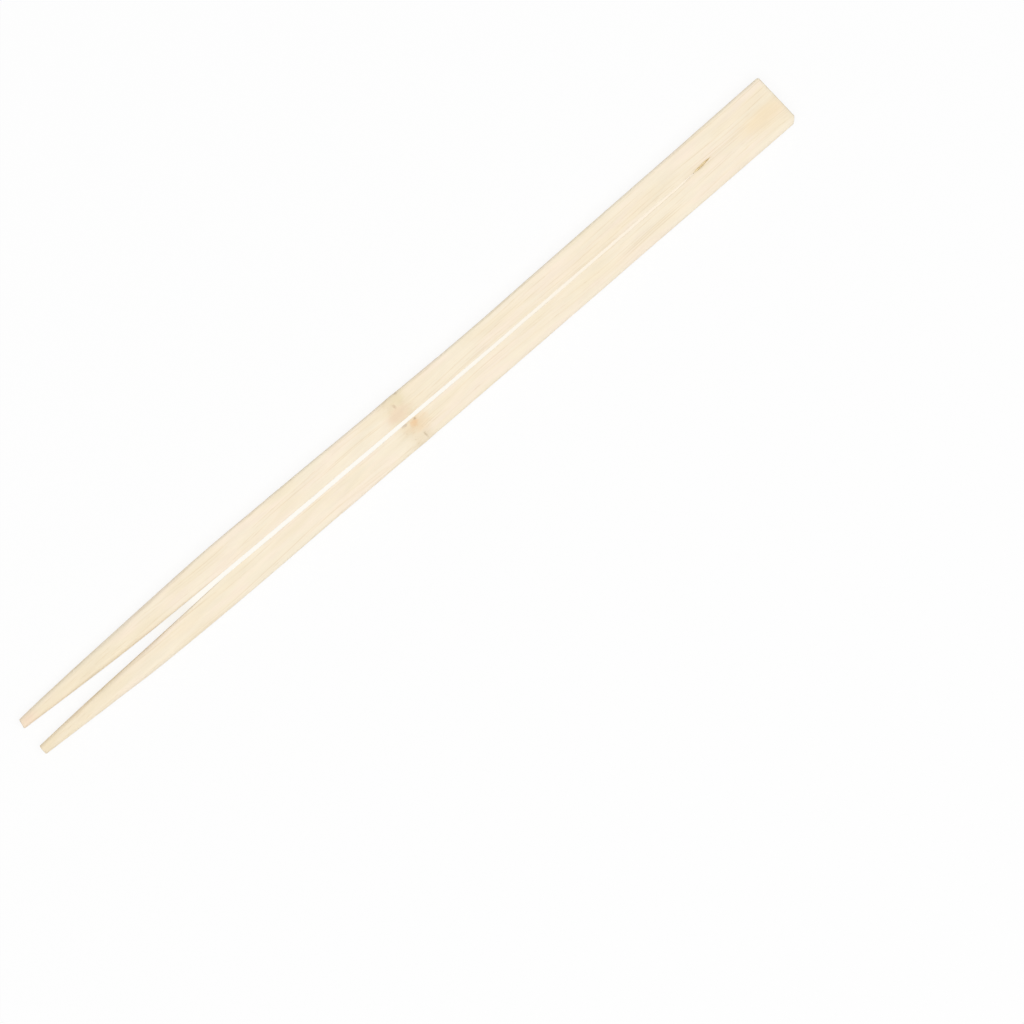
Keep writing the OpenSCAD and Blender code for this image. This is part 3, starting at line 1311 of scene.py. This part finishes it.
@dataclass(frozen=True)
class BambooFinish:
    """A surface of the bamboo, by its colours and how far each pattern shows."""

    name: str
    cream: Colour
    peach: Colour
    straw: Colour
    bundle: Colour
    fleck: Colour
    ring: Colour
    ring_line: Colour
    # Edge tint: partly wear, partly painted shade of the rounded edges
    edge: Colour
    bundle_share: float
    fleck_share: float
    saw_share: float
    edge_wear_and_shade_share: float
    roughness: float
    bump: float
    stains: tuple[StainSpot, ...] = ()
    straw_share: float = 0.7
    fine_share: float = 0.5
    pore_share: float = 0.8
    ring_share: float = 0.5
    ring_line_share: float = 0.25
    cloud_shades: tuple[float, float] = (0.965, 1.02)
    saw_shade: float = 0.5
    ring_height: float = 0.6
    saw_height: float = 6.0
    bump_distance: float = 0.03
    ior: float = 1.45
    specular: float = 0.35

    def build(self) -> bpy.types.Material:
        """Makes the material.

        Returns:
            The material, with its colour, roughness and relief from nodes.
        """
        material = bpy.data.materials.new(self.name)
        material.use_nodes = True
        material.diffuse_color = self.cream
        sheet = NodeSheet(material.node_tree)
        own = sheet.node("ShaderNodeTexCoord").outputs["Object"]
        place = sheet.vector("MULTIPLY", own, (1.0 / MM, 1.0 / MM, 1.0 / MM))
        grain = FibreGrain().place(sheet, place)
        tone = CulmTone().place(sheet, place)
        ring = NodeRing().place(sheet, place)
        saw = SawMarks().place(sheet, place)["Mark"]
        colour = self.colour(sheet, place, grain, tone, ring)
        saw_shade = sheet.step(saw, 0.2, 0.8, 1.0 - self.saw_shade * self.saw_share, 1.0)
        shade = sheet.times(sheet.step(tone["Cloud"], 0.2, 0.8, *self.cloud_shades), saw_shade)
        colour = sheet.mix(1.0, colour, sheet.joined(shade, shade, shade), blend="MULTIPLY")
        rough_parts = ((grain["Fine"], 0.1), (grain["Bundle"], -0.09), (tone["Cloud"], 0.08))
        height_parts = ((ring["Height"], self.ring_height), (saw, self.saw_height * self.saw_share))
        bump = sheet.node("ShaderNodeBump")
        bump.inputs["Strength"].default_value = self.bump
        bump.inputs["Distance"].default_value = self.bump_distance * MM
        sheet.put(bump.inputs["Height"], sheet.weighted(grain["Height"], *height_parts))
        shader = sheet.node("ShaderNodeBsdfPrincipled")
        shader.inputs["IOR"].default_value = self.ior
        shader.inputs["Specular IOR Level"].default_value = self.specular
        sheet.put(shader.inputs["Base Color"], colour)
        sheet.put(shader.inputs["Roughness"], sheet.weighted(self.roughness, *rough_parts))
        sheet.put(shader.inputs["Normal"], bump.outputs["Normal"])
        sheet.node("ShaderNodeOutputMaterial", shader.outputs["BSDF"])
        return material

    def colour(
        self,
        sheet: NodeSheet,
        place: Socket,
        grain: dict[str, Socket],
        tone: dict[str, Socket],
        ring: dict[str, Socket],
    ) -> Socket:
        """Lays the colours of the patterns, the stains and the edge tint over each other, the edge tint being
        partly wear and partly painted shade of the rounded edges.

        Args:
            sheet: The material's nodes.
            place: Places in millimetres.
            grain: Results of the fibre grain.
            tone: Results of the culm tone.
            ring: Results of the node ring.

        Returns:
            The colour of the surface, before its shades.
        """
        flecks = sheet.math("MAXIMUM", grain["Fleck"], sheet.times(grain["Pore"], self.pore_share))
        layers = [
            (tone["Warm"], 1.0, self.peach),
            (tone["Straw"], self.straw_share, self.straw),
            (grain["Bundle"], self.bundle_share, self.bundle),
            (grain["Fine"], self.fine_share * self.bundle_share, self.bundle),
            (flecks, self.fleck_share, self.fleck),
            (ring["Band"], self.ring_share, self.ring),
            (ring["Line"], self.ring_line_share, self.ring_line),
        ]
        for spot in self.stains:
            made = Stain().place(sheet, place, Centre=spot.centre, Reach=spot.reach, Ragged=spot.ragged)
            layers.append((made["Mask"], spot.share, spot.colour))
        # Edge tint, broken up by the clouds: partly wear, partly painted shade of the rounded edges
        worn_and_shaded = sheet.node("ShaderNodeAttribute", attribute_name="edge_wear_and_shade").outputs["Fac"]
        worn_and_shaded = sheet.times(worn_and_shaded, sheet.step(tone["Cloud"], 0.25, 0.7, 0.5, 1.0))
        layers.append((worn_and_shaded, self.edge_wear_and_shade_share, self.edge))
        colour: Value = self.cream
        for mask, share, tint in layers:
            colour = sheet.mix(sheet.times(mask, share), colour, tint)
        return colour


# Tan over the crack: partly a stain of the torn fibres, partly painted shade of the crack's recess
CRACK_STAIN_AND_SHADE = StainSpot((90.7, -0.2, 5.0), (3.9, 0.9, 9.0), seen(244, 228, 192), 0.3, 1.0)
BODY_STAINS = (
    StainSpot((109.0, -1.0, 5.0), (11.0, 3.6, 9.0), seen(248, 226, 188), 0.6, 0.7),
    StainSpot((-114.0, 0.0, 2.5), (58.0, 9.0, 9.0), seen(243, 226, 190), 0.5, 0.6),
    StainSpot((-112.8, 4.2, 2.5), (5.0, 2.4, 3.5), seen(247, 221, 198), 0.7, 0.5),
    StainSpot((-113.0, -3.5, 2.5), (5.0, 2.4, 3.5), seen(241, 224, 188), 0.5, 0.5),
    StainSpot((-0.8, 1.7, 5.0), (4.2, 2.6, 4.0), seen(244, 217, 188), 0.55, 1.2),
    StainSpot((1.4, 4.9, 5.0), (3.0, 2.2, 4.0), seen(238, 224, 184), 0.4, 1.2),
    StainSpot((1.6, -2.6, 5.0), (4.4, 2.8, 4.0), seen(244, 216, 178), 0.55, 1.2),
    StainSpot((0.9, -2.1, 5.0), (1.5, 1.2, 2.2), seen(240, 198, 148), 0.6, 1.2),
    StainSpot((1.6, -1.35, 5.0), (0.5, 0.5, 1.4), seen(176, 144, 104), 0.5, 1.6),
    StainSpot((-1.35, -1.15, 5.0), (1.2, 0.5, 1.2), seen(190, 170, 150), 0.45, 1.6),
    StainSpot((-0.3, 3.8, 5.0), (0.5, 0.8, 0.8), seen(204, 174, 140), 0.45, 1.8),
    StainSpot((1.15, -5.75, 5.0), (0.4, 1.15, 0.9), seen(192, 170, 134), 0.5, 1.8),
    StainSpot((1.95, 6.2, 5.0), (0.5, 0.6, 1.4), seen(190, 166, 132), 0.5, 1.4),
    CRACK_STAIN_AND_SHADE,
)

FINISHES: dict[Finish, BambooFinish] = {
    Finish.PLANED: BambooFinish(
        name="planed_bamboo",
        cream=seen(251, 239, 216),
        peach=seen(253, 238, 218),
        straw=seen(249, 235, 207),
        bundle=seen(242, 223, 190),
        fleck=seen(216, 190, 148),
        ring=seen(237, 219, 186),
        ring_line=seen(206, 182, 142),
        edge=seen(232, 227, 205),
        bundle_share=0.34,
        fleck_share=0.27,
        saw_share=0.0,
        edge_wear_and_shade_share=0.3,
        roughness=0.52,
        bump=0.5,
        stains=BODY_STAINS,
    ),
    Finish.SAWN: BambooFinish(
        name="sawn_bamboo",
        cream=seen(247, 236, 211),
        peach=seen(248, 235, 212),
        straw=seen(243, 230, 200),
        bundle=seen(226, 203, 162),
        fleck=seen(182, 150, 104),
        ring=seen(233, 213, 177),
        ring_line=seen(202, 176, 134),
        edge=seen(231, 224, 202),
        bundle_share=0.6,
        fleck_share=0.6,
        saw_share=0.16,
        edge_wear_and_shade_share=0.3,
        roughness=0.68,
        bump=0.8,
        stains=(CRACK_STAIN_AND_SHADE,),
    ),
    Finish.TORN: BambooFinish(
        name="torn_bamboo",
        cream=seen(250, 239, 213),
        peach=seen(250, 237, 208),
        straw=seen(246, 232, 194),
        bundle=seen(238, 219, 180),
        fleck=seen(216, 192, 150),
        ring=seen(230, 208, 170),
        ring_line=seen(196, 168, 124),
        edge=seen(226, 202, 156),
        bundle_share=0.8,
        fleck_share=0.8,
        saw_share=0.1,
        edge_wear_and_shade_share=0.0,
        roughness=0.8,
        bump=1.0,
    ),
}


@dataclass
class Studio:
    """The pale floor, the soft light and the camera that looks straight down, in metres."""

    frame_width: float = 0.2394
    camera_height: float = 4.0
    frame_middle: tuple[float, float] = (0.00455, -0.0328)
    camera_turn: float = -40.67
    camera_clip: tuple[float, float] = (0.01, 50.0)
    sensor: float = 36.0
    top_height: float = 0.005
    floor_size: float = 6.0
    floor_drop: float = 0.00002
    floor_colour: Colour = (0.93, 0.93, 0.93, 1.0)
    floor_white: float = 0.88
    white: Colour = (1.0, 1.0, 1.0, 1.0)
    # Painted light: colours, place and size of a glowing stripe on the floor under the slit, warmer towards
    # the slit's start
    painted_slit_glow: Colour = (1.0, 0.97, 0.9, 1.0)
    painted_slit_start_glow: Colour = (1.0, 0.89, 0.73, 1.0)
    slit_middle: float = 0.012
    slit_half_length: tuple[float, float] = (0.094, 0.076)
    slit_half_width: tuple[float, float] = (0.0035, 0.0025)
    painted_glow_change: tuple[float, float] = (-0.005, 0.088)
    dome_colour: Colour = (0.8, 0.8, 0.8, 1.0)
    dome_strengths: tuple[float, float] = (0.4, 0.86)
    key_power: float = 6.15
    key_size: float = 1.0
    key_place: Triple = (0.0, -0.24, 1.08)

    def camera(self) -> None:
        """Makes the camera straight above the strip, leaning to the middle of the photograph's frame."""
        data = bpy.data.cameras.new("camera")
        data.sensor_width = self.sensor
        data.lens = self.sensor * self.camera_height / self.frame_width
        data.clip_start, data.clip_end = self.camera_clip
        made = bpy.data.objects.new("camera", data)
        bpy.context.scene.collection.objects.link(made)
        x, y = self.frame_middle
        made.location = (x, 0.0, self.top_height + self.camera_height)
        lean = Matrix.Rotation(math.atan2(y, self.camera_height), 3, "X")
        turn = Matrix.Rotation(math.radians(self.camera_turn), 3, "Z")
        made.rotation_euler = (lean @ turn).to_euler()
        bpy.context.scene.camera = made

    def floor(self) -> None:
        """Makes the floor, white to the camera but for the strip's soft shadow, with a painted warm glow
        under the slit that is no lamp.
        """
        bpy.ops.object.select_all(action="DESELECT")
        bpy.ops.mesh.primitive_plane_add(size=self.floor_size, location=(0.0, 0.0, -self.floor_drop))
        made = bpy.context.object
        made.name = "floor"
        material = bpy.data.materials.new("pale_floor")
        material.use_nodes = True
        sheet = NodeSheet(material.node_tree)
        plain = sheet.node("ShaderNodeBsdfDiffuse", self.floor_colour)
        x, y, _ = sheet.parts(sheet.node("ShaderNodeTexCoord").outputs["Object"])
        # Painted light: a stripe under the slit glows to the camera at full strength, in a warm colour that
        # grows warmer towards the slit's start
        along = sheet.math("ABSOLUTE", sheet.math("SUBTRACT", x, self.slit_middle))
        across = sheet.math("ABSOLUTE", y)
        in_slit = sheet.step(across, *self.slit_half_width)
        in_slit = sheet.times(sheet.step(along, *self.slit_half_length), in_slit)
        glow = sheet.mix(sheet.step(x, *self.painted_glow_change), self.painted_slit_glow, self.painted_slit_start_glow)
        light = sheet.node("ShaderNodeEmission", sheet.mix(in_slit, self.white, glow))
        share = sheet.times(self.watched(sheet), sheet.math("MAXIMUM", in_slit, self.floor_white))
        both = sheet.node("ShaderNodeMixShader", share, plain.outputs[0], light.outputs[0])
        sheet.node("ShaderNodeOutputMaterial", both.outputs[0])
        made.data.materials.append(material)

    def watched(self, sheet: NodeSheet) -> Socket:
        """Picks out the rays that show the background: those of the camera, of gloss and of glass.

        Args:
            sheet: Nodes of the floor or the world.

        Returns:
            1 for those rays, 0 for the others.
        """
        path = sheet.node("ShaderNodeLightPath").outputs
        seen_by = sheet.math("MAXIMUM", path["Is Camera Ray"], path["Is Glossy Ray"])
        return sheet.math("MAXIMUM", seen_by, path["Is Transmission Ray"])

    def world(self) -> None:
        """Makes the soft dome of light, brighter overhead, which is an even pale grey to the camera."""
        made = bpy.data.worlds.new("dome")
        bpy.context.scene.world = made
        made.use_nodes = True
        sheet = NodeSheet(made.node_tree)
        _, _, up = sheet.parts(sheet.node("ShaderNodeTexCoord").outputs["Generated"])
        dome = sheet.node("ShaderNodeMapRange", up, 0.0, 1.0, *self.dome_strengths)
        both = sheet.node("ShaderNodeMix", self.watched(sheet), data_type="FLOAT")
        sheet.put(both.inputs[2], dome.outputs[0])
        sheet.put(both.inputs[3], 1.0)
        light = sheet.node("ShaderNodeBackground", self.dome_colour, both.outputs[0])
        sheet.node("ShaderNodeOutputWorld", light.outputs[0])

    def key(self) -> None:
        """Makes the large soft lamp, nearly overhead and a little towards the lower leg."""
        data = bpy.data.lights.new("key", "AREA")
        data.shape = "DISK"
        data.size = self.key_size
        data.energy = self.key_power
        made = bpy.data.objects.new("key", data)
        bpy.context.scene.collection.objects.link(made)
        made.location = self.key_place
        made.rotation_mode = "QUATERNION"
        made.rotation_quaternion = (-Vector(made.location)).to_track_quat("-Z", "Y")
        made.visible_camera = False

    def build(self) -> None:
        """Sets up the whole studio."""
        bpy.context.scene.view_settings.view_transform = "Standard"
        for make in (self.camera, self.floor, self.world, self.key):
            make()


def main() -> None:
    """Builds the studio and the pair, dresses it and reports each piece."""
    logging.basicConfig(level=logging.INFO, format="%(name)s: %(message)s")
    Studio().build()
    finishes = {kind: finish.build() for kind, finish in FINISHES.items()}
    pair = ChopstickPair()
    piece = pair.build()
    pair.dress(piece, finishes)
    LOG.info("%s: %d faces, %d materials", piece.name, len(piece.data.polygons), len(piece.data.materials))


if __name__ == "__main__":
    main()
